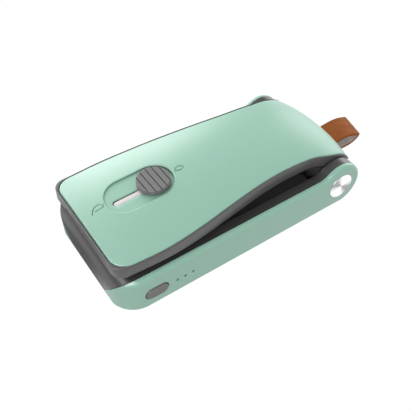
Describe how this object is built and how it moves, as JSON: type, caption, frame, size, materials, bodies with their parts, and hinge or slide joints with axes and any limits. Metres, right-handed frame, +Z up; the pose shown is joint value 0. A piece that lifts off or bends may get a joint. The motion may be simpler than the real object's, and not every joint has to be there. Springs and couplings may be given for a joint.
{
  "type": "handheld bag heat sealer",
  "caption": "Small clamp-type bag sealer with a hinged arm, mode slider, hidden cutter, side power button and a leather hang loop.",
  "frame": {"origin": "centre of the non-slip pad on the underside, on the surface the base stands on", "axes": "+X from the jaws to the hinge, +Z up from the base, the power button on the -Y side"},
  "size_m": [0.1334, 0.0575, 0.0294],
  "materials": {
    "mint_plastic": "satin mint green moulded plastic",
    "dark_plastic": "satin dark grey moulded plastic",
    "grey_plastic": "fine-grained mid grey moulded plastic",
    "pale_plastic": "smooth pale grey plastic",
    "steel": "spun and brushed steel",
    "leather": "tan leather, grey suede inside",
    "silicone": "matt dark silicone",
    "ceramic": "matt white ceramic",
    "film": "tan coated glass-cloth film",
    "cell": "wrapped lithium cell",
    "board": "green solder mask",
    "lens": "smoked light pipe",
    "brass": "turned brass",
    "red_wire": "red wire insulation",
    "black_wire": "black wire insulation"
  },
  "bodies": {
    "base": {"base_shell": "mint_plastic", "base_frame": "dark_plastic", "grip_pad": "silicone", "heater_block": "ceramic", "heating_element": "steel", "heater_film": "film", "battery": "cell", "circuit_board": "board", "usb_port": "steel", "tact_switch": "steel", "hinge_shaft": "steel", "hinge_cap_left": "steel", "hinge_cap_right": "steel", "return_spring_left": "steel", "return_spring_right": "steel", "strap_pin": "steel", "leather_strap": "leather", "light_pipe_1": "lens", "light_pipe_2": "lens", "light_pipe_3": "lens", "base_screw_1": "steel", "base_screw_2": "steel", "base_screw_3": "steel", "base_screw_4": "steel", "battery_lead_1": "red_wire", "battery_lead_2": "black_wire", "heater_lead_1": "red_wire", "heater_lead_2": "black_wire"},
    "arm": {"arm_cover": "mint_plastic", "arm_frame": "dark_plastic", "slot_track": "pale_plastic", "press_pad": "silicone", "pad_holder": "grey_plastic", "hinge_bush_left": "brass", "hinge_bush_right": "brass", "arm_screw_1": "steel", "arm_screw_2": "steel", "arm_screw_3": "steel", "arm_screw_4": "steel", "blade_return_spring": "steel"},
    "slider": {"slide_knob": "grey_plastic", "slide_carriage": "pale_plastic"},
    "cutter": {"blade_carrier": "grey_plastic", "cutter_blade": "steel"},
    "button": {"power_button": "grey_plastic"}
  },
  "joints": [
    {"name": "arm_press", "type": "hinge", "parent": "base", "child": "arm", "pos_m": [0.0455, 0, 0.01], "axis": [0, -1, 0], "range_deg": [0, 1.2], "stiffness_Nm_per_rad": 0.5, "springref_deg": -11.46},
    {"name": "mode_slide", "type": "slide", "parent": "arm", "child": "slider", "axis": [-0.9994, 0, -0.0349], "range_m": [0, 0.0115]},
    {"name": "blade_drop", "type": "slide", "parent": "arm", "child": "cutter", "axis": [0, 0, -1], "range_m": [0, 0.0022]},
    {"name": "button_press", "type": "slide", "parent": "base", "child": "button", "axis": [0, 1, 0], "range_m": [0, 0.0007], "stiffness_N_per_m": 300, "springref_m": -0.001}
  ],
  "couplings": [
    {"joint": "blade_drop", "follows": "mode_slide", "ratio": 0.1913}
  ]
}
